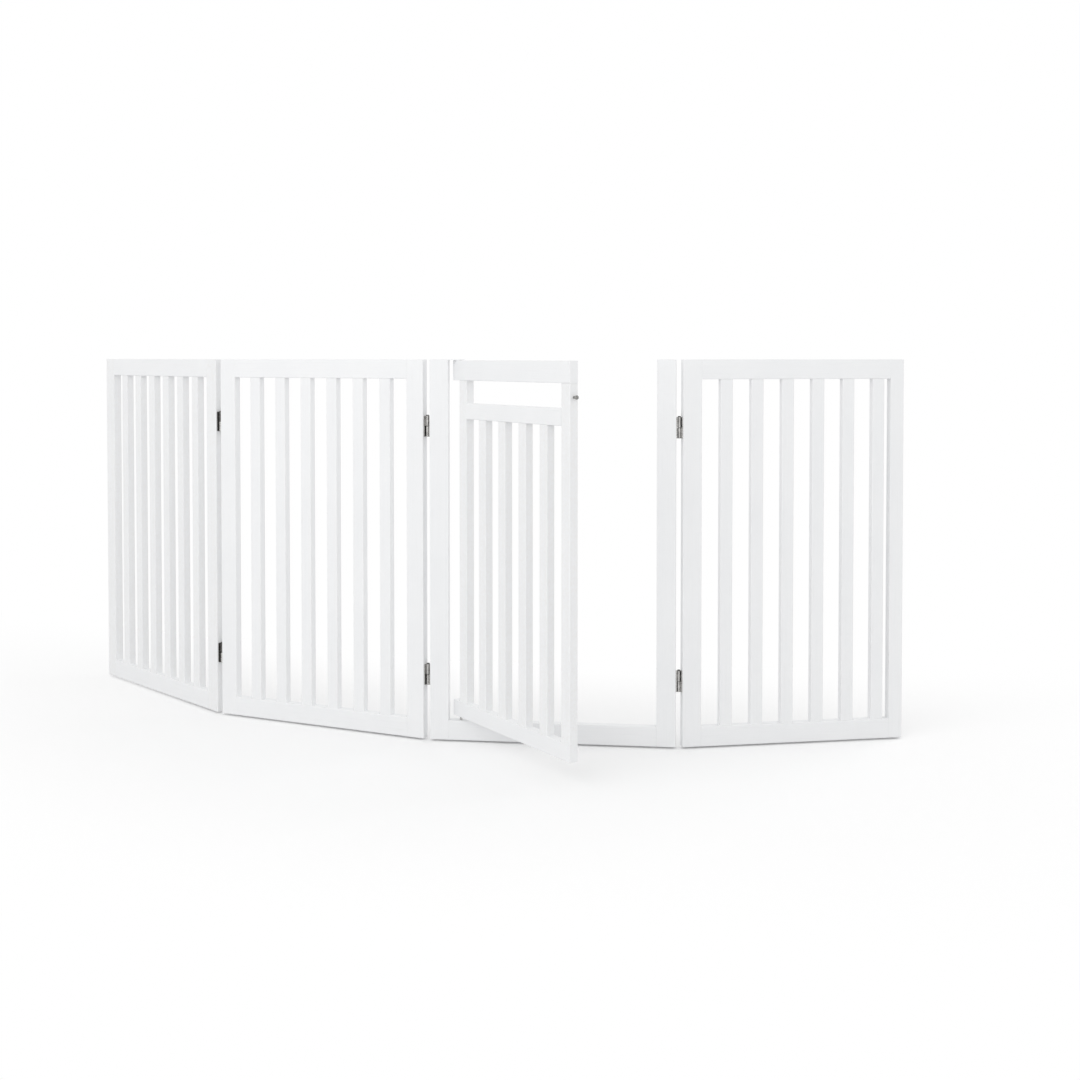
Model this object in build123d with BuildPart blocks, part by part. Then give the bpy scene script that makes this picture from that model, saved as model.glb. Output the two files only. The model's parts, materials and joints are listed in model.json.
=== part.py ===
"""Free-standing folding pet gate: three slatted panels and a doorway with a swing door."""

import os
from math import cos, radians, sin

from build123d import *

os.makedirs("parts", exist_ok=True)

# Panels, in millimetres
gate_height = 800.0
frame_thickness = 19.0
panel_width = 514.0
stile_width = 39.5
rail_height = 41.0
slat_width = 26.0
slat_thickness = 17.5
slats_per_panel = 6

# The outer end of panel 4 is narrower than the rest
end_stile_width = 29.5
end_gap = 13.5

# Door, measured along the door from its pivot axis
door_horn = 15.0
door_length = 399.0
door_upright_start = 10.0
door_upright_width = 27.5
door_bottom = 50.0
door_bottom_rail_height = 33.0
door_middle_rail_bottom = 676.0
door_middle_rail_height = 33.0
door_top = 798.0
door_top_rail_height = 42.0
door_slats = 4
pivot_from_stile = 25.0

# Joinery and edges
tenon_length = 18.0
tenon_thickness = 8.0
tenon_shoulder = 5.0
slat_tenon_length = 10.0
eased_edge = 1.5
rail_end_easing = 0.75
joint_chamfer = 0.5

# Panel hinges
panel_gap = 12.0
hinge_heights = (135.5, 659.5)
leaf_height = 44.0
leaf_width = 13.0
leaf_thickness = 1.8
leaf_corner = 1.5
leaf_chamfer = 0.3
knuckle_radius = 3.9
knuckle_chamfer = 0.4
knuckle_gap = 0.6
neck_width = 5.0
neck_fillet = 0.8
hinge_pin_radius = 2.0
pin_head_radius = 3.2
pin_head_height = 1.6
pin_head_rounding = 0.8
running_clearance = 0.05

# Wood screws, countersunk
screw_radius = 1.5
screw_head_radius = 3.0
screw_length = 16.0
screw_tip = 3.0
screw_hole_clearance = 0.1
leaf_screw_drops = (4.5, 16.0)

# Door pivots
lower_pin_radius = 2.75
pivot_pin_depth = 20.0
pivot_engagement = 21.0
pivot_hole_spare = 1.0
pivot_end_play = 0.1
pin_chamfer = 0.5
upper_pin_radius = 2.5
strap_thickness = 1.6
strap_width = 16.0
strap_end_margin = 4.0
strap_screw_spots = (9.0, 25.0)

# Latch
latch_height = 730.0
stud_radius = 2.5
stud_head_radius = 4.0
stud_head_height = 3.0
stud_head_rounding = 1.0
stud_reach = 10.4
stud_depth = 20.0
magnet_radius = 7.0
magnet_depth = 5.0

# Pose: how far each panel is folded from straight, and how far the door stands open
fold_1_2 = 21.8
fold_2_3 = 16.5
fold_3_4 = 15.7
door_open = 48.3

# Sizes that follow
half_gap = panel_gap / 2
slat_gap = (panel_width - 2 * stile_width - slats_per_panel * slat_width) / (slats_per_panel + 1)
slat_pitch = slat_width + slat_gap
slat_tenon_width = slat_width - 2 * tenon_shoulder
first_slat = stile_width + slat_gap + slat_width / 2
slat_centres = [first_slat + index * slat_pitch for index in range(slats_per_panel)]
panel_4_width = slat_centres[-1] + slat_width / 2 + end_gap + end_stile_width
pivot_x = -panel_width / 2 + stile_width + pivot_from_stile
door_upright_end = door_upright_start + door_upright_width
latch_stile_start = door_length - door_upright_width
door_slat_room = latch_stile_start - door_upright_end
door_slat_gap = (door_slat_room - door_slats * slat_width) / (door_slats + 1)
door_slat_pitch = slat_width + door_slat_gap
door_slat_centres = [
    door_upright_end + door_slat_gap + slat_width / 2 + index * door_slat_pitch
    for index in range(door_slats)
]
door_bottom_rail_top = door_bottom + door_bottom_rail_height
door_middle_rail_top = door_middle_rail_bottom + door_middle_rail_height
door_top_rail_bottom = door_top - door_top_rail_height


# Places of the panels in plan


def step(start, distance, turn):
    """The point at a distance from start, in the direction turn."""
    return (start[0] + distance * cos(radians(turn)), start[1] + distance * sin(radians(turn)))


def in_plan(point, turn):
    return Location((point[0], point[1], 0), (0, 0, turn))


turn_2 = -fold_2_3
turn_1 = turn_2 - fold_1_2
turn_4 = fold_3_4
axis_2_3 = (-panel_width / 2 - half_gap, 0)
axis_3_4 = (panel_width / 2 + half_gap, 0)
axis_1_2 = step(axis_2_3, -panel_width - panel_gap, turn_2)

doorway_place = in_plan((-panel_width / 2, 0), 0)
panel_1_place = in_plan(step(axis_1_2, -panel_width - half_gap, turn_1), turn_1)
panel_2_place = in_plan(step(axis_2_3, -panel_width - half_gap, turn_2), turn_2)
panel_4_place = in_plan(step(axis_3_4, half_gap, turn_4), turn_4)
door_place = in_plan((pivot_x, 0), -door_open)


def save(piece, name, place=Location()):
    placed = piece.moved(place)
    placed.label = name
    export_step(placed, f"parts/{name}.step")


# Wooden pieces. A stile stands with its outer edge at x = 0 and its inner edge towards +X.


def leaf_screw_heights(knuckle_up):
    """Heights of the leaf screws, which sit in the half without the leaf's own knuckle."""
    side = -1 if knuckle_up else 1
    return [centre + side * drop for centre in hinge_heights for drop in leaf_screw_drops]


def make_stile(width, rail_spans, screw_heights=()):
    with BuildPart() as stile:
        with BuildSketch() as section:
            Rectangle(width, frame_thickness, align=(Align.MIN, Align.CENTER))
            fillet(section.vertices().group_by(Axis.X)[0], eased_edge)
        extrude(amount=gate_height)
        end_edges = stile.faces().filter_by(Axis.Z).edges()
        fillet(end_edges - end_edges.group_by(Axis.X)[-1], eased_edge)
        chamfer(stile.faces().sort_by(Axis.X)[-1].edges(), joint_chamfer)
        for low, high in rail_spans:
            with BuildSketch(Plane.YZ.offset(width)):
                with Locations((0, (low + high) / 2)):
                    Rectangle(tenon_thickness, high - low - 2 * tenon_shoulder)
            extrude(amount=-tenon_length, mode=Mode.SUBTRACT)
        if screw_heights:
            with BuildSketch(Plane.YZ):
                with Locations(*[(0, spot) for spot in screw_heights]):
                    Circle(screw_radius)
            extrude(amount=screw_length - leaf_thickness, mode=Mode.SUBTRACT)
    return stile.part


def make_rail(length, rise, slat_spots=(), slats_above=True):
    """A rail from x = 0, with a tenon on each end and mortises for the slats."""
    with BuildPart() as rail:
        with BuildSketch(Plane.YZ):
            with Locations((0, rise / 2)):
                RectangleRounded(frame_thickness, rise, eased_edge)
        extrude(amount=length)
        with BuildSketch(Plane.YZ.offset(-tenon_length)):
            with Locations((0, rise / 2)):
                Rectangle(tenon_thickness, rise - 2 * tenon_shoulder)
        extrude(amount=length + 2 * tenon_length)
        if slat_spots:
            with BuildSketch(Plane.XY.offset(rise if slats_above else 0)):
                with Locations(*[(spot, 0) for spot in slat_spots]):
                    Rectangle(slat_tenon_width, tenon_thickness)
            extrude(amount=-slat_tenon_length if slats_above else slat_tenon_length, mode=Mode.SUBTRACT)
    return rail.part


def make_slat(low, high):
    """A slat between two rails, with a stub tenon on each end."""
    with BuildPart() as slat:
        with BuildSketch(Plane.XY.offset(low)):
            RectangleRounded(slat_width, slat_thickness, eased_edge)
        extrude(amount=high - low)
        with BuildSketch(Plane.XY.offset(low - slat_tenon_length)):
            Rectangle(slat_tenon_width, tenon_thickness)
        extrude(amount=high - low + 2 * slat_tenon_length)
    return slat.part


rail_spans = [(0, rail_height), (gate_height - rail_height, gate_height)]
holes_on_left_edge = leaf_screw_heights(knuckle_up=False)
holes_on_right_edge = leaf_screw_heights(knuckle_up=True)


def save_panel(name, place, width, right_width, left_holes, right_holes):
    """The stiles, rails and slats of one slatted panel."""
    rail_length = width - stile_width - right_width
    slat_spots = [centre - stile_width for centre in slat_centres]
    top_rail_place = place * Location((stile_width, 0, gate_height - rail_height))
    save(make_stile(stile_width, rail_spans, left_holes), f"{name}_stile_left", place)
    right_place = place * Location((width, 0, 0), (0, 0, 180))
    save(make_stile(right_width, rail_spans, right_holes), f"{name}_stile_right", right_place)
    save(make_rail(rail_length, rail_height, slat_spots, False), f"{name}_top_rail", top_rail_place)
    save(
        make_rail(rail_length, rail_height, slat_spots, True),
        f"{name}_bottom_rail",
        place * Location((stile_width, 0, 0)),
    )
    slat = make_slat(rail_height, gate_height - rail_height)
    for index, centre in enumerate(slat_centres, start=1):
        save(slat, f"{name}_slat_{index}", place * Location((centre, 0, 0)))


save_panel("panel_1", panel_1_place, panel_width, stile_width, (), holes_on_right_edge)
save_panel(
    "panel_2", panel_2_place, panel_width, stile_width, holes_on_left_edge, holes_on_right_edge
)
save_panel("panel_4", panel_4_place, panel_4_width, end_stile_width, holes_on_left_edge, ())

# Doorway: two stiles and a threshold, open at the top. The strap lies in the top of the left stile.
threshold_span = [(0, rail_height)]
strap_start = strap_end_margin
strap_screws = [strap_start + spot for spot in strap_screw_spots]
strap_pivot = stile_width + pivot_from_stile

with BuildPart() as doorway_stile_left:
    add(make_stile(stile_width, threshold_span, holes_on_left_edge))
    with BuildSketch(Plane.XY.offset(gate_height)):
        with Locations((strap_start, 0)):
            Rectangle(stile_width, strap_width, align=(Align.MIN, Align.CENTER))
    extrude(amount=-strap_thickness, mode=Mode.SUBTRACT)
    with BuildSketch(Plane.XY.offset(gate_height)):
        with Locations(*[(spot, 0) for spot in strap_screws]):
            Circle(screw_radius)
    extrude(amount=-screw_length, mode=Mode.SUBTRACT)
save(doorway_stile_left.part, "doorway_stile_left", doorway_place)

with BuildPart() as doorway_stile_right:
    add(make_stile(stile_width, threshold_span, holes_on_right_edge))
    with BuildSketch(Plane.YZ.offset(stile_width)):
        with Locations((0, latch_height)):
            Circle(magnet_radius)
    extrude(amount=-magnet_depth, mode=Mode.SUBTRACT)
save(
    doorway_stile_right.part,
    "doorway_stile_right",
    doorway_place * Location((panel_width, 0, 0), (0, 0, 180)),
)

with BuildPart() as doorway_threshold:
    add(make_rail(panel_width - 2 * stile_width, rail_height))
    with BuildSketch(Plane.XY.offset(rail_height)):
        with Locations((pivot_from_stile, 0)):
            Circle(lower_pin_radius)
    extrude(amount=-pivot_pin_depth, mode=Mode.SUBTRACT)
save(
    doorway_threshold.part,
    "doorway_threshold",
    doorway_place * Location((stile_width, 0, 0)),
)

# Door. Its rails run from the horn to the free end, and the uprights stand between them.
upright_centres = (
    door_upright_start + door_upright_width / 2,
    door_length - door_upright_width / 2,
)
upright_tenon_width = door_upright_width - 2 * tenon_shoulder


def make_door_rail(low, high, pin_radius, pin_from_top, slat_spots):
    """A long door rail with its pivot hole in the horn and its mortises towards the door's middle."""
    inner = low if pin_from_top else high
    outer = high if pin_from_top else low
    inward = 1 if pin_from_top else -1
    with BuildPart() as rail:
        with BuildSketch(Plane.YZ.offset(-door_horn)):
            with Locations((0, (low + high) / 2)):
                RectangleRounded(frame_thickness, high - low, eased_edge)
        extrude(amount=door_horn + door_length)
        fillet(rail.faces().filter_by(Axis.X).edges(), rail_end_easing)
        with BuildSketch(Plane.XY.offset(inner)):
            with Locations(*[(centre, 0) for centre in upright_centres]):
                Rectangle(upright_tenon_width, tenon_thickness)
        extrude(amount=inward * tenon_length, mode=Mode.SUBTRACT)
        if slat_spots:
            with BuildSketch(Plane.XY.offset(inner)):
                with Locations(*[(spot, 0) for spot in slat_spots]):
                    Rectangle(slat_tenon_width, tenon_thickness)
            extrude(amount=inward * slat_tenon_length, mode=Mode.SUBTRACT)
        with BuildSketch(Plane.XY.offset(outer)):
            Circle(pin_radius + running_clearance)
        extrude(amount=-inward * (pivot_engagement + pivot_hole_spare), mode=Mode.SUBTRACT)
    return rail.part


def make_upright(start, inner_edge):
    """An upright between the door's rails, with a mortise for the middle rail in its inner edge."""
    centre = start + door_upright_width / 2
    middle = (door_middle_rail_bottom + door_middle_rail_top) / 2
    inward = 1 if inner_edge == start else -1
    with BuildPart() as upright:
        with BuildSketch(Plane.XY.offset(door_bottom_rail_top)):
            with Locations((centre, 0)):
                RectangleRounded(door_upright_width, frame_thickness, eased_edge)
        extrude(amount=door_top_rail_bottom - door_bottom_rail_top)
        with BuildSketch(Plane.XY.offset(door_bottom_rail_top - tenon_length)):
            with Locations((centre, 0)):
                Rectangle(upright_tenon_width, tenon_thickness)
        extrude(amount=door_top_rail_bottom - door_bottom_rail_top + 2 * tenon_length)
        with BuildSketch(Plane.YZ.offset(inner_edge)):
            with Locations((0, middle)):
                Rectangle(tenon_thickness, door_middle_rail_height - 2 * tenon_shoulder)
        extrude(amount=inward * tenon_length, mode=Mode.SUBTRACT)
    return upright.part


save(
    make_door_rail(door_top_rail_bottom, door_top, upper_pin_radius, True, ()),
    "door_top_rail",
    door_place,
)
save(
    make_door_rail(door_bottom, door_bottom_rail_top, hinge_pin_radius, False, door_slat_centres),
    "door_bottom_rail",
    door_place,
)
save(make_upright(door_upright_start, door_upright_end), "door_hinge_upright", door_place)
middle_rail_slats = [centre - door_upright_end for centre in door_slat_centres]
save(
    make_rail(door_slat_room, door_middle_rail_height, middle_rail_slats, False),
    "door_middle_rail",
    door_place * Location((door_upright_end, 0, door_middle_rail_bottom)),
)

with BuildPart() as door_latch_stile:
    add(make_upright(latch_stile_start, latch_stile_start))
    with BuildSketch(Plane.YZ.offset(door_length)):
        with Locations((0, latch_height)):
            Circle(stud_radius)
    extrude(amount=-stud_depth, mode=Mode.SUBTRACT)
save(door_latch_stile.part, "door_latch_stile", door_place)

door_slat = make_slat(door_bottom_rail_top, door_middle_rail_bottom)
for index, centre in enumerate(door_slat_centres, start=1):
    save(door_slat, f"door_slat_{index}", door_place * Location((centre, 0, 0)))

# Panel hinges. A leaf lies on the stile's edge, and its knuckle turns on a loose pin in the gap.


def facing_x(x, z, side):
    """A place at the height z whose own Z axis points along +X or, for side -1, along -X."""
    return Location(Plane(origin=(x, 0, z), x_dir=(0, 1, 0), z_dir=(side, 0, 0)))


def make_leaf(bore_radius):
    """A leaf on the left of the hinge axis, with its knuckle in the upper half."""
    gap_face = leaf_thickness - half_gap
    knuckle_base = knuckle_gap / 2
    with BuildPart() as leaf:
        with BuildSketch(Plane.XY.offset(knuckle_base)):
            Circle(knuckle_radius)
        extrude(amount=leaf_height / 2 - knuckle_base)
        chamfer(leaf.edges().filter_by(GeomType.CIRCLE), knuckle_chamfer)
        with BuildSketch(Plane.YZ.offset(-half_gap)):
            RectangleRounded(leaf_width, leaf_height, leaf_corner)
        extrude(amount=leaf_thickness)
        plate_outline = leaf.faces().filter_by(Plane.YZ).sort_by(Axis.X)[-1].edges()
        chamfer(plate_outline, leaf_chamfer)
        with BuildSketch(Plane.XY.offset(knuckle_base + knuckle_chamfer)):
            Rectangle(half_gap - leaf_thickness / 2, neck_width, align=(Align.MAX, Align.CENTER))
        extrude(amount=leaf_height / 2 - knuckle_base - 2 * knuckle_chamfer)
        on_plate = leaf.edges().filter_by(Axis.Z).filter_by_position(Axis.X, gap_face, gap_face)
        fillet(on_plate.filter_by_position(Axis.Y, -neck_width, neck_width), neck_fillet)
        with BuildSketch(Plane.XY):
            Circle(bore_radius)
        extrude(amount=leaf_height / 2, mode=Mode.SUBTRACT)
        with Locations(*[facing_x(gap_face, -drop, 1) for drop in leaf_screw_drops]):
            CounterSinkHole(
                screw_radius + screw_hole_clearance,
                screw_head_radius + running_clearance,
                counter_sink_angle=90,
            )
    return leaf.part


def make_hinge_pin():
    """A pin with a domed head that rests above the upper knuckle."""
    top = leaf_height / 2
    head_start = top + knuckle_gap / 2
    with BuildPart() as pin:
        with BuildSketch(Plane.XZ):
            with BuildLine():
                Polyline(
                    (0, -top),
                    (hinge_pin_radius, -top),
                    (hinge_pin_radius, head_start),
                    (pin_head_radius, head_start),
                    (pin_head_radius, head_start + pin_head_height),
                    (0, head_start + pin_head_height),
                    close=True,
                )
            make_face()
        revolve(axis=Axis.Z)
        fillet(pin.edges().group_by(Axis.Z)[-1], pin_head_rounding)
    return pin.part


def make_screw():
    """A countersunk screw with the top of its head at the origin, pointing down."""
    with BuildPart() as screw:
        with BuildSketch(Plane.XZ):
            with BuildLine():
                Polyline(
                    (0, 0),
                    (screw_head_radius, 0),
                    (screw_radius, screw_radius - screw_head_radius),
                    (screw_radius, screw_tip - screw_length),
                    (0, -screw_length),
                    close=True,
                )
            make_face()
        revolve(axis=Axis.Z)
    return screw.part


knuckle_up_leaf = make_leaf(hinge_pin_radius + running_clearance)
knuckle_down_leaf = make_leaf(hinge_pin_radius).rotate(Axis.Y, 180)
hinge_pin = make_hinge_pin()
screw = make_screw()


def at_hinges(piece, axis, turn):
    """A copy of a piece at each hinge height on one fold axis."""
    with BuildPart() as pair:
        for centre in hinge_heights:
            add(piece.moved(in_plan(axis, turn) * Location((0, 0, centre))))
    return pair.part


def leaf_screw_places(axis, turn, knuckle_up):
    """Where the screws of both leaves on one stile edge go, heads towards the gap."""
    side = 1 if knuckle_up else -1
    gap_face = side * (leaf_thickness - half_gap)
    return [
        in_plan(axis, turn) * facing_x(gap_face, spot, side)
        for spot in leaf_screw_heights(knuckle_up)
    ]


def save_screws(name, places):
    with BuildPart() as screws:
        for place in places:
            add(screw.moved(place))
    save(screws.part, name)


save(at_hinges(knuckle_up_leaf, axis_1_2, turn_1), "hinge_1_2_leaves_left")
save(at_hinges(knuckle_down_leaf, axis_1_2, turn_2), "hinge_1_2_leaves_right")
save(at_hinges(hinge_pin, axis_1_2, turn_2), "hinge_1_2_pins")
save(at_hinges(knuckle_up_leaf, axis_2_3, turn_2), "hinge_2_3_leaves_left")
save(at_hinges(knuckle_down_leaf, axis_2_3, 0), "hinge_2_3_leaves_right")
save(at_hinges(hinge_pin, axis_2_3, 0), "hinge_2_3_pins")
save(at_hinges(knuckle_up_leaf, axis_3_4, 0), "hinge_3_4_leaves_left")
save(at_hinges(knuckle_down_leaf, axis_3_4, turn_4), "hinge_3_4_leaves_right")
save(at_hinges(hinge_pin, axis_3_4, turn_4), "hinge_3_4_pins")

strap_screw_places = [
    doorway_place * Location((spot, 0, gate_height)) for spot in strap_screws
]
save_screws("screws_panel_1", leaf_screw_places(axis_1_2, turn_1, True))
save_screws(
    "screws_panel_2",
    leaf_screw_places(axis_1_2, turn_2, False) + leaf_screw_places(axis_2_3, turn_2, True),
)
save_screws(
    "screws_doorway",
    leaf_screw_places(axis_2_3, 0, False)
    + leaf_screw_places(axis_3_4, 0, True)
    + strap_screw_places,
)
save_screws("screws_panel_4", leaf_screw_places(axis_3_4, turn_4, False))

# Door pivots: a shouldered pin in the threshold, and a pin riveted in the strap
pivot_place = in_plan((pivot_x, 0), 0)

with BuildPart() as pivot_pin_lower:
    shoulder = door_bottom - pivot_end_play
    with BuildSketch(Plane.XY.offset(rail_height - pivot_pin_depth)):
        Circle(lower_pin_radius)
    extrude(amount=shoulder - rail_height + pivot_pin_depth)
    with BuildSketch(Plane.XY.offset(shoulder)):
        Circle(hinge_pin_radius)
    extrude(amount=pivot_engagement)
    chamfer(pivot_pin_lower.edges().group_by(Axis.Z)[-1], pin_chamfer)
save(pivot_pin_lower.part, "pivot_pin_lower", pivot_place)

with BuildPart() as pivot_strap:
    with BuildSketch(Plane.XY.offset(gate_height - strap_thickness)):
        with Locations((strap_start, 0)):
            Rectangle(strap_pivot - strap_start, strap_width, align=(Align.MIN, Align.CENTER))
        with Locations((strap_pivot, 0)):
            Circle(strap_width / 2)
            Circle(upper_pin_radius, mode=Mode.SUBTRACT)
    extrude(amount=strap_thickness)
    with Locations(*[(spot, 0, gate_height) for spot in strap_screws]):
        CounterSinkHole(
            screw_radius + screw_hole_clearance,
            screw_head_radius + running_clearance,
            counter_sink_angle=90,
        )
save(pivot_strap.part, "pivot_strap", doorway_place)

with BuildPart() as pivot_pin_upper:
    with BuildSketch(Plane.XY.offset(gate_height)):
        Circle(upper_pin_radius)
    extrude(amount=door_top - pivot_engagement - gate_height)
    chamfer(pivot_pin_upper.edges().group_by(Axis.Z)[0], pin_chamfer)
save(pivot_pin_upper.part, "pivot_pin_upper", pivot_place)

# Latch: a headed stud in the free end of the door, and a magnet let into the stile it meets
with BuildPart() as latch_stud:
    with BuildSketch(Plane.YZ.offset(door_length - stud_depth)):
        with Locations((0, latch_height)):
            Circle(stud_radius)
    extrude(amount=stud_depth + stud_reach - stud_head_height)
    with BuildSketch(Plane.YZ.offset(door_length + stud_reach - stud_head_height)):
        with Locations((0, latch_height)):
            Circle(stud_head_radius)
    extrude(amount=stud_head_height)
    fillet(latch_stud.edges().group_by(Axis.X)[-1], stud_head_rounding)
save(latch_stud.part, "latch_stud", door_place)

with BuildPart() as latch_magnet:
    with BuildSketch(Plane.YZ.offset(panel_width / 2 - stile_width)):
        with Locations((0, latch_height)):
            Circle(magnet_radius)
    extrude(amount=magnet_depth)
save(latch_magnet.part, "latch_magnet")

for name, axis in (("1_2", axis_1_2), ("2_3", axis_2_3), ("3_4", axis_3_4), ("door", (pivot_x, 0))):
    print(f"axis {name}: {axis[0]:.4f}, {axis[1]:.4f}")
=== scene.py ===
"""Looks of the folding pet gate: painted timber, steel hardware, a white studio, and the camera."""

import json
import math

import bmesh
import bpy
import numpy as np
from mathutils import Matrix, Vector

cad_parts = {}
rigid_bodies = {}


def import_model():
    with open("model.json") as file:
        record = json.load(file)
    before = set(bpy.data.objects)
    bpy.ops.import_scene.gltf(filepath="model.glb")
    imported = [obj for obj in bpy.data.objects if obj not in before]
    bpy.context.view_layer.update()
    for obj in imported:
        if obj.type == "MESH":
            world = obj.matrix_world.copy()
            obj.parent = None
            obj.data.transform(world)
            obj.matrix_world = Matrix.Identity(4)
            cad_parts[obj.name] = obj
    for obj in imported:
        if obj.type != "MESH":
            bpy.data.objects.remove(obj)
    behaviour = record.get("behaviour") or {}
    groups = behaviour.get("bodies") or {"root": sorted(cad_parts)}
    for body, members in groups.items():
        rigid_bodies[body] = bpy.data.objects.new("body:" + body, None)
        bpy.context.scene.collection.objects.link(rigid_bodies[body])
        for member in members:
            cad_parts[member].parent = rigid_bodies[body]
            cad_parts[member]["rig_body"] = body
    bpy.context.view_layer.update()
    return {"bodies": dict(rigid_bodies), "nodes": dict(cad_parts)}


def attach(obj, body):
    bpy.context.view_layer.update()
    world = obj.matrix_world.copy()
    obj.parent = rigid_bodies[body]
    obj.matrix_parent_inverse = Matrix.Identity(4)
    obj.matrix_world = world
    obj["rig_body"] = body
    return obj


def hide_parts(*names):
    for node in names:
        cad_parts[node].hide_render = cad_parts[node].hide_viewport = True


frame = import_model()
nodes = frame["nodes"]

# How far each body is turned in plan at rest, in degrees, so that grain runs along its rails
BODY_TURN = {"panel_1": -38.3, "panel_2": -16.5, "doorway": 0.0, "panel_4": 15.7, "door": -48.3}

# Camera of the photograph: metres, degrees, and millimetres for the sensor and the lens
CAMERA_PLACE = (0.2991, -2.7614, 0.8043)
CAMERA_PITCH = 1.46
CAMERA_HEADING = 6.7
CAMERA_SENSOR = 36.0
CAMERA_LENS = 44.6
CAMERA_SHIFT_Y = -0.1377

# Ranges that a noise, a sum of two noises and a share mostly lie in
NOISE_MIDDLE = (0.3, 0.7)
NOISE_SUM_MIDDLE = (0.7, 1.3)
FULL = (0.0, 1.0)

# White paint: two tones of its patches, the fibre valleys, and the rubbed edges
PAINT_COOL = (0.868, 0.876, 0.886)
PAINT_PALE = (0.89, 0.896, 0.903)
PAINT_VALLEY = (0.82, 0.825, 0.83)
PAINT_RUBBED = (0.83, 0.815, 0.79)
PAINT_ROUGHNESS = (0.38, 0.5)
VALLEY_FIBRES = (0.28, 0.5)
VALLEY_SHARE = (0.35, 0.0)
RUBBED_BREAKUP = (0.42, 0.7)
RUBBED_SHARE = (0.0, 0.4)

# How squarely a surface faces along its body's axes on a flat face, and on an eased edge
FLAT_TO_EDGE = (0.99, 0.75)

# Sizes of the paint's textures, as repeats in a metre, and the depth of their relief in metres
FIBRES_ACROSS = 620.0
FIBRES_ALONG = 11.0
RINGS_ACROSS = 70.0
RINGS_ALONG = 1.6
PAINT_PEEL = 1500.0
PAINT_PATCHES = 9.0
PAINT_BREAKUP = 160.0
RING_RELIEF = 0.00025
FIBRE_RELIEF = 0.00005
PAINT_PEEL_RELIEF = 0.000012

# Sprayed paint on the strap
SPRAY_COOL = (0.85, 0.858, 0.868)
SPRAY_PALE = (0.885, 0.89, 0.897)
SPRAY_ROUGHNESS = (0.26, 0.4)
SPRAY_PATCH_RANGE = (0.35, 0.65)
SPRAY_PEEL = 1100.0
SPRAY_PATCHES = 90.0
SPRAY_PEEL_RELIEF = 0.00004

# Plated steel: clouds and dull spots, as repeats in a metre, and the depth of its relief in metres
STEEL_CLOUDS = 130.0
STEEL_SPOTS = 900.0
DULL_SPOTS = (0.58, 0.72)
DULL_SHARE = (0.0, 0.35)
MARK_RELIEF = 0.00002
SPOT_RELIEF = 0.00001

# Hinge leaves: dark and light clouds, darker tones on panel 1 as painted shade, and painted shade on
# the flat plate
LEAF_TONES = ((0.34, 0.335, 0.325), (0.62, 0.61, 0.595))
PANEL_1_LEAF_PAINTED_SHADE_TONES = ((0.075, 0.073, 0.07), (0.17, 0.167, 0.162))
PLATE_PAINTED_SHADE = (0.075, 0.072, 0.07)
PLATE_FACING = (0.97, 0.995)
PLATE_PAINTED_SHADE_SHARE = (1.0, 0.75)

# Screws, in metres and radians
SCREW_SEGMENTS = 40
SCREW_TURN_STEP = 0.9
RECESS_ARM = 0.0018
RECESS_HALF_WIDTH = 0.00042
RECESS_DEPTH = 0.0013
RECESS_FLOOR_ARM = RECESS_ARM * 0.55
RECESS_FLOOR_HALF_WIDTH = RECESS_HALF_WIDTH * 0.8
HEAD_RIM = 0.0001
WELD_DISTANCE = 1e-6

# Studio: strength of the surroundings, and the floor's size, height and grey for light and for the eye
WHITE = (1.0, 1.0, 1.0, 1.0)
WORLD_STRENGTH = 0.76
FLOOR_SIZE = 40.0
FLOOR_HEIGHT = -0.0038
FLOOR_LIT = (0.75, 0.75, 0.75)
FLOOR_SEEN = (0.995, 0.995, 0.995)

# The floor's fade to white: its middle, its bow and stretch along the gate's arc, and its start and end
FADE_MIDDLE = (0.1, -0.25)
FADE_BOW = 0.29
FADE_STRETCH = 2.2
FADE_REACH = (0.3, 0.95)

# Front lamps: the spot they aim at, and their width and height
FRONT_TARGET = (-0.1, 0.0, 0.35)
FRONT_SIZE = (5.0, 4.0)


def add_node(tree, kind, **settings):
    node = tree.nodes.new(kind)
    for key, value in settings.items():
        setattr(node, key, value)
    return node


def set_inputs(node, **values):
    for key, value in values.items():
        node.inputs[key.replace("_", " ")].default_value = value


def new_material(name):
    material = bpy.data.materials.new(name)
    material.use_nodes = True
    return material, material.node_tree, material.node_tree.nodes["Principled BSDF"]


def stretched(tree, coordinates, turn, scale):
    """Coordinates turned into a body's own axes and then scaled."""
    turned = add_node(tree, "ShaderNodeMapping")
    turned.inputs["Rotation"].default_value = (0, 0, math.radians(-turn))
    scaled = add_node(tree, "ShaderNodeMapping")
    scaled.inputs["Scale"].default_value = scale
    tree.links.new(coordinates, turned.inputs["Vector"])
    tree.links.new(turned.outputs["Vector"], scaled.inputs["Vector"])
    return scaled.outputs["Vector"]


def noise(tree, vector, scale, detail, roughness):
    node = add_node(tree, "ShaderNodeTexNoise")
    set_inputs(node, Scale=scale, Detail=detail, Roughness=roughness)
    tree.links.new(vector, node.inputs["Vector"])
    return node.outputs["Fac"]


def mapped(tree, value, source, target, interpolation="LINEAR"):
    """A value moved from its source range to a target range, and held within that."""
    node = add_node(tree, "ShaderNodeMapRange", interpolation_type=interpolation)
    set_inputs(node, From_Min=source[0], From_Max=source[1], To_Min=target[0], To_Max=target[1])
    tree.links.new(value, node.inputs["Value"])
    return node.outputs["Result"]


def maths(tree, operation, first, second):
    node = add_node(tree, "ShaderNodeMath", operation=operation)
    for socket, value in zip(node.inputs, (first, second)):
        if isinstance(value, (int, float)):
            socket.default_value = value
        else:
            tree.links.new(value, socket)
    return node.outputs["Value"]


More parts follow.
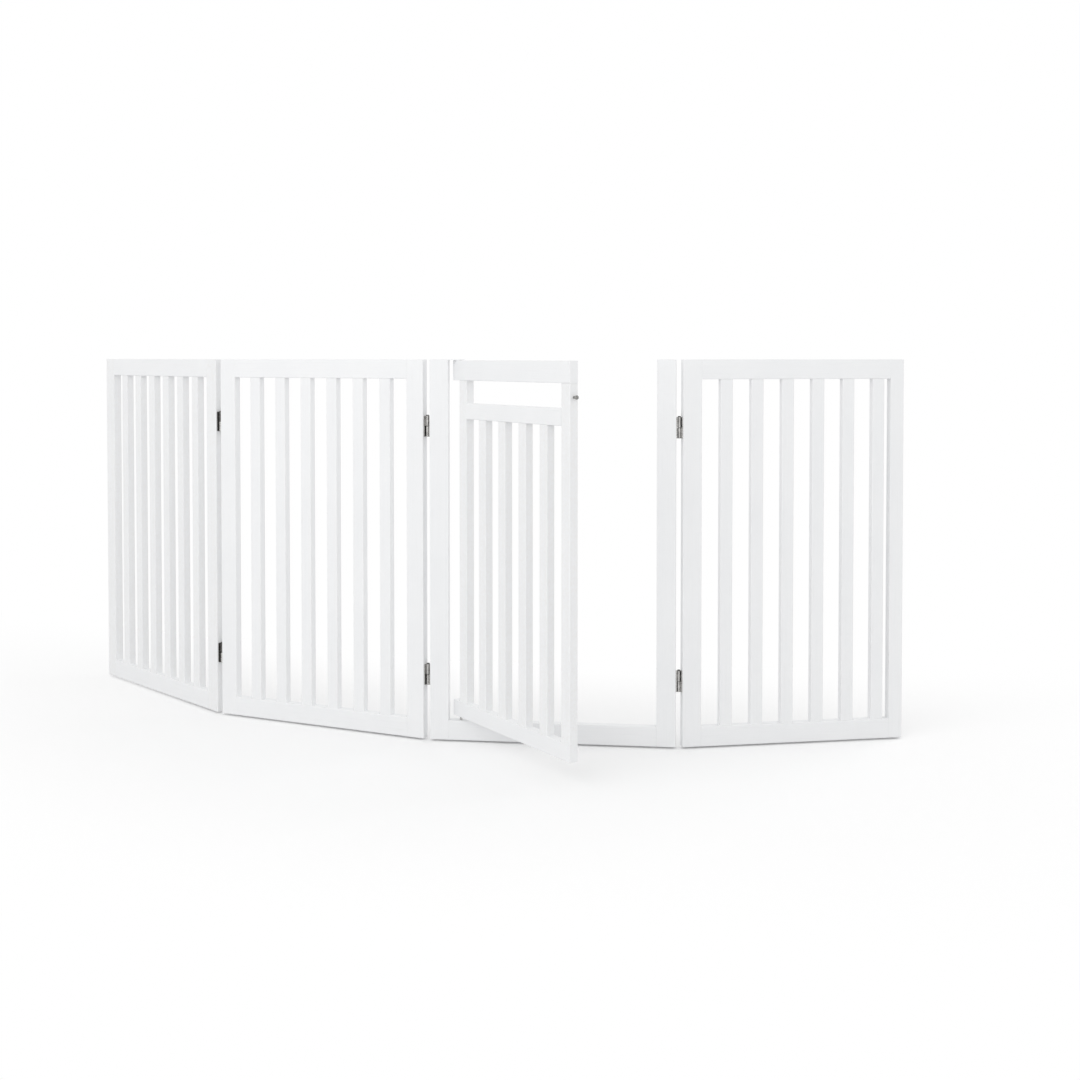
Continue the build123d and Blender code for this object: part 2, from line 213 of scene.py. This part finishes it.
def mixed_colour(tree, share, low, high):
    node = add_node(tree, "ShaderNodeMix", data_type="RGBA")
    sockets = [s for s in node.inputs if s.type == "RGBA"]
    for socket, value in zip(sockets, (low, high)):
        if isinstance(value, tuple):
            socket.default_value = (*value, 1.0)
        else:
            tree.links.new(value, socket)
    tree.links.new(share, node.inputs["Factor"])
    return next(s for s in node.outputs if s.type == "RGBA")


def bumped(tree, height, depth, below=None):
    """Relief of a depth in metres, on top of the relief below."""
    node = add_node(tree, "ShaderNodeBump")
    set_inputs(node, Strength=1.0, Distance=depth)
    tree.links.new(height, node.inputs["Height"])
    if below is not None:
        tree.links.new(below, node.inputs["Normal"])
    return node.outputs["Normal"]


def body_normal(tree, coordinate_node, turn):
    """How squarely a surface faces along, across and up its body, each from 0 to 1."""
    turned = add_node(tree, "ShaderNodeMapping", vector_type="VECTOR")
    turned.inputs["Rotation"].default_value = (0, 0, math.radians(-turn))
    tree.links.new(coordinate_node.outputs["Normal"], turned.inputs["Vector"])
    absolute = add_node(tree, "ShaderNodeVectorMath", operation="ABSOLUTE")
    tree.links.new(turned.outputs["Vector"], absolute.inputs[0])
    parts = add_node(tree, "ShaderNodeSeparateXYZ")
    tree.links.new(absolute.outputs["Vector"], parts.inputs["Vector"])
    return parts.outputs


def edge_share(tree, coordinate_node, turn):
    """1 on the eased edges, whose normal leans away from the timber's flat faces."""
    along, across, up = body_normal(tree, coordinate_node, turn)
    flattest = maths(tree, "MAXIMUM", maths(tree, "MAXIMUM", along, across), up)
    return mapped(tree, flattest, FLAT_TO_EDGE, FULL)


def grain_scale(across, along, upright):
    """Repeats along a body's three axes for grain that runs upright or along a rail."""
    return (across, across, along) if upright else (along, across, across)


def painted_timber(name, turn, upright):
    """White satin paint over timber. The fibres show through a little along the grain."""
    material, tree, shader = new_material(name)
    coordinate_node = add_node(tree, "ShaderNodeTexCoord")
    place = coordinate_node.outputs["Object"]
    fibre_place = stretched(tree, place, turn, grain_scale(FIBRES_ACROSS, FIBRES_ALONG, upright))
    ring_place = stretched(tree, place, turn, grain_scale(RINGS_ACROSS, RINGS_ALONG, upright))
    fibres = noise(tree, fibre_place, scale=1.0, detail=4.0, roughness=0.6)
    rings = noise(tree, ring_place, scale=1.0, detail=2.0, roughness=0.5)
    peel = noise(tree, place, PAINT_PEEL, detail=2.0, roughness=0.5)
    patches = noise(tree, place, PAINT_PATCHES, detail=3.0, roughness=0.55)
    breakup = noise(tree, place, PAINT_BREAKUP, detail=4.0, roughness=0.65)

    tone = mapped(tree, patches, NOISE_MIDDLE, FULL)
    colour = mixed_colour(tree, tone, PAINT_COOL, PAINT_PALE)
    valley = mapped(tree, fibres, VALLEY_FIBRES, VALLEY_SHARE)
    colour = mixed_colour(tree, valley, colour, PAINT_VALLEY)
    worn = mapped(tree, breakup, RUBBED_BREAKUP, RUBBED_SHARE)
    rubbed = maths(tree, "MULTIPLY", edge_share(tree, coordinate_node, turn), worn)
    colour = mixed_colour(tree, rubbed, colour, PAINT_RUBBED)
    tree.links.new(colour, shader.inputs["Base Color"])

    gloss = mapped(tree, maths(tree, "ADD", peel, breakup), NOISE_SUM_MIDDLE, PAINT_ROUGHNESS)
    tree.links.new(gloss, shader.inputs["Roughness"])
    relief = bumped(tree, rings, RING_RELIEF)
    relief = bumped(tree, fibres, FIBRE_RELIEF, relief)
    relief = bumped(tree, peel, PAINT_PEEL_RELIEF, relief)
    tree.links.new(relief, shader.inputs["Normal"])
    return material


def plated_steel(name, dark, light, roughness, mark_scale, plate_shade_turn=None):
    """Plated steel with drawing marks, cloudy plating and a few duller spots.

    With the turn of its body given, a hinge leaf's flat plate is painted darker than its knuckle, as
    painted shade and painted dark reflection.
    """
    material, tree, shader = new_material(name)
    shader.inputs["Metallic"].default_value = 1.0
    coordinate_node = add_node(tree, "ShaderNodeTexCoord")
    place = coordinate_node.outputs["Object"]
    mark_place = stretched(tree, place, 0.0, mark_scale)
    marks = noise(tree, mark_place, scale=1.0, detail=4.0, roughness=0.6)
    clouds = noise(tree, place, STEEL_CLOUDS, detail=4.0, roughness=0.6)
    spots = noise(tree, place, STEEL_SPOTS, detail=2.0, roughness=0.5)

    tone = mapped(tree, maths(tree, "ADD", clouds, marks), NOISE_SUM_MIDDLE, FULL)
    colour = mixed_colour(tree, tone, dark, light)
    dull = mapped(tree, spots, DULL_SPOTS, DULL_SHARE)
    colour = mixed_colour(tree, dull, colour, dark)
    # Painted shade: the flat faces of a leaf plate are mixed towards a near-black tint, standing for
    # shade in the gap
    if plate_shade_turn is not None:
        facing = body_normal(tree, coordinate_node, plate_shade_turn)["X"]
        flat = mapped(tree, facing, PLATE_FACING, FULL)
        flat = maths(tree, "MULTIPLY", flat, mapped(tree, clouds, NOISE_MIDDLE, PLATE_PAINTED_SHADE_SHARE))
        colour = mixed_colour(tree, flat, colour, PLATE_PAINTED_SHADE)
    tree.links.new(colour, shader.inputs["Base Color"])

    gloss = mapped(tree, maths(tree, "ADD", clouds, spots), NOISE_SUM_MIDDLE, roughness)
    tree.links.new(gloss, shader.inputs["Roughness"])
    relief = bumped(tree, marks, MARK_RELIEF)
    relief = bumped(tree, spots, SPOT_RELIEF, relief)
    tree.links.new(relief, shader.inputs["Normal"])
    return material


def sprayed_metal(name):
    """White sprayed paint on the flat strap, with a slight orange peel."""
    material, tree, shader = new_material(name)
    place = add_node(tree, "ShaderNodeTexCoord").outputs["Object"]
    peel = noise(tree, place, SPRAY_PEEL, detail=2.0, roughness=0.5)
    patches = noise(tree, place, SPRAY_PATCHES, detail=3.0, roughness=0.6)
    tone = mapped(tree, patches, SPRAY_PATCH_RANGE, FULL)
    tree.links.new(mixed_colour(tree, tone, SPRAY_COOL, SPRAY_PALE), shader.inputs["Base Color"])
    tree.links.new(mapped(tree, peel, NOISE_MIDDLE, SPRAY_ROUGHNESS), shader.inputs["Roughness"])
    tree.links.new(bumped(tree, peel, SPRAY_PEEL_RELIEF), shader.inputs["Normal"])
    return material


def leaf_finish(body):
    # Panel 1's leaves take darker tones of the same steel: painted shade and painted dark reflection of
    # the gap
    dark, light = PANEL_1_LEAF_PAINTED_SHADE_TONES if body == "panel_1" else LEAF_TONES
    return plated_steel(
        f"leaf_steel_{body}",
        dark,
        light,
        roughness=(0.2, 0.36),
        mark_scale=(1400, 1400, 60),
        plate_shade_turn=BODY_TURN[body],
    )


leaf_steel = {body: leaf_finish(body) for body in BODY_TURN if body != "door"}
screw_steel = plated_steel(
    "screw_steel",
    dark=(0.06, 0.058, 0.056),
    light=(0.15, 0.147, 0.142),
    roughness=(0.24, 0.4),
    mark_scale=(900, 900, 900),
)
bright_steel = plated_steel(
    "bright_steel",
    dark=(0.2, 0.197, 0.19),
    light=(0.42, 0.415, 0.405),
    roughness=(0.2, 0.36),
    mark_scale=(1600, 1600, 50),
)
pivot_steel = plated_steel(
    "pivot_steel",
    dark=(0.42, 0.415, 0.405),
    light=(0.66, 0.65, 0.635),
    roughness=(0.2, 0.36),
    mark_scale=(1600, 1600, 50),
)
magnet_plate = plated_steel(
    "magnet_plate",
    dark=(0.48, 0.475, 0.46),
    light=(0.7, 0.69, 0.67),
    roughness=(0.14, 0.28),
    mark_scale=(300, 1500, 1500),
)
strap_paint = sprayed_metal("strap_paint")
upright_paint = painted_timber("upright_paint", 0.0, upright=True)
rail_paint = {
    body: painted_timber(f"rail_paint_{body}", turn, upright=False) for body, turn in BODY_TURN.items()
}


def finish_of(name, body):
    if "_leaves_" in name:
        return leaf_steel[body]
    if name.startswith("screws") or name.endswith("_pins"):
        return screw_steel
    if name.startswith("pivot_pin"):
        return pivot_steel
    if name == "latch_stud":
        return bright_steel
    if name == "latch_magnet":
        return magnet_plate
    if name == "pivot_strap":
        return strap_paint
    along_rail = name.endswith("rail") or name == "doorway_threshold"
    return rail_paint[body] if along_rail else upright_paint


for body, empty in frame["bodies"].items():
    for child in empty.children:
        child.data.materials.clear()
        child.data.materials.append(finish_of(child.name, body))


def screw_axes(node):
    """Head centre, direction into the timber, head radius and length of each screw in a node.

    They are sorted by place to a tenth of a millimetre, so that their order is the same each time.
    """
    work = bmesh.new()
    work.from_mesh(node.data)
    bmesh.ops.remove_doubles(work, verts=work.verts, dist=WELD_DISTANCE)
    reached = set()
    found = []
    for start in work.verts:
        if start in reached:
            continue
        reached.add(start)
        island = [start]
        for vertex in island:
            for edge in vertex.link_edges:
                other = edge.other_vert(vertex)
                if other not in reached:
                    reached.add(other)
                    island.append(other)
        points = np.array([vertex.co for vertex in island])
        middle = points.mean(0)
        axis = np.linalg.svd(points - middle, full_matrices=False)[2][0]
        height = (points - middle) @ axis
        spread = np.linalg.norm(points - middle - np.outer(height, axis), axis=1)
        if height[spread.argmax()] > 0:
            axis = -axis
            height = -height
        head = middle + axis * height.min()
        found.append((Vector(head), Vector(axis), float(spread.max()), float(np.ptp(height))))
    work.free()
    return sorted(found, key=lambda screw: tuple(round(v, 4) for v in screw[0]))


def ring(mesh, radius, height):
    angles = [2 * math.pi * index / SCREW_SEGMENTS for index in range(SCREW_SEGMENTS)]
    return [mesh.verts.new((radius * math.cos(a), radius * math.sin(a), height)) for a in angles]


def cross(mesh, arm, half_width, height):
    quarter = [(arm, -half_width), (arm, half_width), (half_width, half_width)]
    corners = []
    for turn in range(4):
        cosine = round(math.cos(turn * math.pi / 2))
        sine = round(math.sin(turn * math.pi / 2))
        corners += [(x * cosine - y * sine, x * sine + y * cosine, height) for x, y in quarter]
    return [mesh.verts.new(corner) for corner in corners]


def neighbours(verts):
    return zip(verts, verts[1:] + verts[:1])


def bridge(mesh, first, second):
    for (a, b), (c, d) in zip(neighbours(first), neighbours(second)):
        mesh.faces.new((a, b, d, c))


def loop_edges(mesh, verts):
    return [mesh.edges.get(pair) or mesh.edges.new(pair) for pair in neighbours(verts)]


def cross_head_screw(mesh, place, radius, length):
    """A countersunk screw along Z with a cross recess, its head at the place's origin."""
    before = set(mesh.verts)
    shank = radius / 2
    rim = ring(mesh, radius - HEAD_RIM, 0)
    edge = ring(mesh, radius, HEAD_RIM)
    neck = ring(mesh, shank, radius - shank)
    tail = ring(mesh, shank, length - radius)
    bridge(mesh, rim, edge)
    bridge(mesh, edge, neck)
    bridge(mesh, neck, tail)
    tip = mesh.verts.new((0, 0, length))
    for a, b in neighbours(tail):
        mesh.faces.new((a, b, tip))
    mouth = cross(mesh, RECESS_ARM, RECESS_HALF_WIDTH, 0)
    floor = cross(mesh, RECESS_FLOOR_ARM, RECESS_FLOOR_HALF_WIDTH, RECESS_DEPTH)
    bridge(mesh, mouth, floor)
    mesh.faces.new(floor)
    edges = loop_edges(mesh, rim) + loop_edges(mesh, mouth)
    bmesh.ops.triangle_fill(mesh, use_beauty=True, edges=edges)
    made = [vertex for vertex in mesh.verts if vertex not in before]
    bmesh.ops.transform(mesh, matrix=place, verts=made)


def make_screws(name, body):
    """Screws with cross recesses in place of a node of plain ones, each turned a little differently."""
    mesh = bmesh.new()
    for index, (head, axis, radius, length) in enumerate(screw_axes(nodes[name])):
        aim = axis.to_track_quat("Z", "Y").to_matrix().to_4x4()
        turn = aim @ Matrix.Rotation(SCREW_TURN_STEP * index, 4, "Z")
        cross_head_screw(mesh, Matrix.Translation(head) @ turn, radius, length)
    bmesh.ops.recalc_face_normals(mesh, faces=mesh.faces)
    data = bpy.data.meshes.new(f"{name}_cross_head")
    mesh.to_mesh(data)
    mesh.free()
    data.materials.append(screw_steel)
    piece = bpy.data.objects.new(f"{name}_cross_head", data)
    bpy.context.scene.collection.objects.link(piece)
    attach(piece, body)
    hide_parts(name)


for name in ("screws_panel_1", "screws_panel_2", "screws_doorway", "screws_panel_4"):
    make_screws(name, nodes[name]["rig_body"])


# Studio: a white floor that keeps the shadow, white surroundings, soft lamps at the right and the front


def seen_directly(tree):
    """1 for camera, glossy and transmission rays, else 0."""
    path = add_node(tree, "ShaderNodeLightPath")
    share = maths(tree, "MAXIMUM", path.outputs["Is Camera Ray"], path.outputs["Is Glossy Ray"])
    return maths(tree, "MAXIMUM", share, path.outputs["Is Transmission Ray"])


def mixed_shader(tree, share, first, second, output):
    mix = add_node(tree, "ShaderNodeMixShader")
    tree.links.new(share, mix.inputs["Fac"])
    tree.links.new(first, mix.inputs[1])
    tree.links.new(second, mix.inputs[2])
    tree.links.new(mix.outputs["Shader"], output.inputs["Surface"])


def make_world():
    """Surroundings that light the gate at one strength and are seen as plain white."""
    world = bpy.data.worlds.new("studio")
    world.use_nodes = True
    tree = world.node_tree
    tree.nodes.clear()
    lighting = add_node(tree, "ShaderNodeBackground")
    set_inputs(lighting, Color=WHITE, Strength=WORLD_STRENGTH)
    shown = add_node(tree, "ShaderNodeBackground")
    set_inputs(shown, Color=WHITE, Strength=1.0)
    output = add_node(tree, "ShaderNodeOutputWorld")
    seen = seen_directly(tree)
    mixed_shader(tree, seen, lighting.outputs["Background"], shown.outputs["Background"], output)
    bpy.context.scene.world = world


def fade_share(tree):
    """0 on the floor near the gate and 1 further out.

    It grows with the distance from a middle point, in an oval stretched and bowed along the gate's arc.
    """
    place = add_node(tree, "ShaderNodeTexCoord")
    parts = add_node(tree, "ShaderNodeSeparateXYZ")
    tree.links.new(place.outputs["Object"], parts.inputs["Vector"])
    aside = maths(tree, "SUBTRACT", parts.outputs["X"], FADE_MIDDLE[0])
    behind = maths(tree, "SUBTRACT", parts.outputs["Y"], FADE_MIDDLE[1])
    arc = maths(tree, "MULTIPLY", maths(tree, "MULTIPLY", aside, aside), FADE_BOW)
    oval = add_node(tree, "ShaderNodeCombineXYZ")
    tree.links.new(maths(tree, "DIVIDE", aside, FADE_STRETCH), oval.inputs["X"])
    tree.links.new(maths(tree, "SUBTRACT", behind, arc), oval.inputs["Y"])
    distance = add_node(tree, "ShaderNodeVectorMath", operation="LENGTH")
    tree.links.new(oval.outputs["Vector"], distance.inputs[0])
    return mapped(tree, distance.outputs["Value"], FADE_REACH, FULL, "SMOOTHSTEP")


def floor_finish():
    """A pale floor that keeps the shadows round the gate and is seen as plain white further out."""
    material = bpy.data.materials.new("studio_floor")
    material.use_nodes = True
    tree = material.node_tree
    tree.nodes.clear()
    seen = seen_directly(tree)
    diffuse = add_node(tree, "ShaderNodeBsdfDiffuse")
    tree.links.new(mixed_colour(tree, seen, FLOOR_LIT, FLOOR_SEEN), diffuse.inputs["Color"])
    white = add_node(tree, "ShaderNodeEmission")
    set_inputs(white, Color=WHITE, Strength=1.0)
    output = add_node(tree, "ShaderNodeOutputMaterial")
    share = maths(tree, "MULTIPLY", seen, fade_share(tree))
    mixed_shader(tree, share, diffuse.outputs["BSDF"], white.outputs["Emission"], output)
    return material


def make_floor():
    data = bpy.data.meshes.new("studio_floor")
    half = FLOOR_SIZE / 2
    corners = ((-half, -half), (half, -half), (half, half), (-half, half))
    data.from_pydata([(x, y, FLOOR_HEIGHT) for x, y in corners], [], [(0, 1, 2, 3)])
    floor = bpy.data.objects.new("studio_floor", data)
    bpy.context.scene.collection.objects.link(floor)
    data.materials.append(floor_finish())


def soft_light(name, place, target, size, watts):
    data = bpy.data.lights.new(name, "AREA")
    data.shape = "RECTANGLE"
    data.size, data.size_y = size
    data.energy = watts
    lamp = bpy.data.objects.new(name, data)
    lamp.location = place
    aim = Vector(target) - Vector(place)
    lamp.rotation_euler = aim.to_track_quat("-Z", "Y").to_euler()
    bpy.context.scene.collection.objects.link(lamp)


make_world()
make_floor()
soft_light("side_right", place=(3.0, 1.6, 1.7), target=(-0.4, 0.0, 0.4), size=(2.6, 2.2), watts=22.0)
soft_light("front_left", place=(-2.2, -3.5, 2.5), target=FRONT_TARGET, size=FRONT_SIZE, watts=66.0)
soft_light("front_right", place=(2.5, -3.5, 2.4), target=FRONT_TARGET, size=FRONT_SIZE, watts=23.0)

camera_data = bpy.data.cameras.new("photo_camera")
camera_data.sensor_width = CAMERA_SENSOR
camera_data.lens = CAMERA_LENS
camera_data.shift_y = CAMERA_SHIFT_Y
camera = bpy.data.objects.new("photo_camera", camera_data)
camera.location = CAMERA_PLACE
camera.rotation_euler = (math.radians(90 - CAMERA_PITCH), 0, math.radians(CAMERA_HEADING))
bpy.context.scene.collection.objects.link(camera)
bpy.context.scene.camera = camera
bpy.context.scene.view_settings.view_transform = "Standard"

bpy.context.view_layer.update()
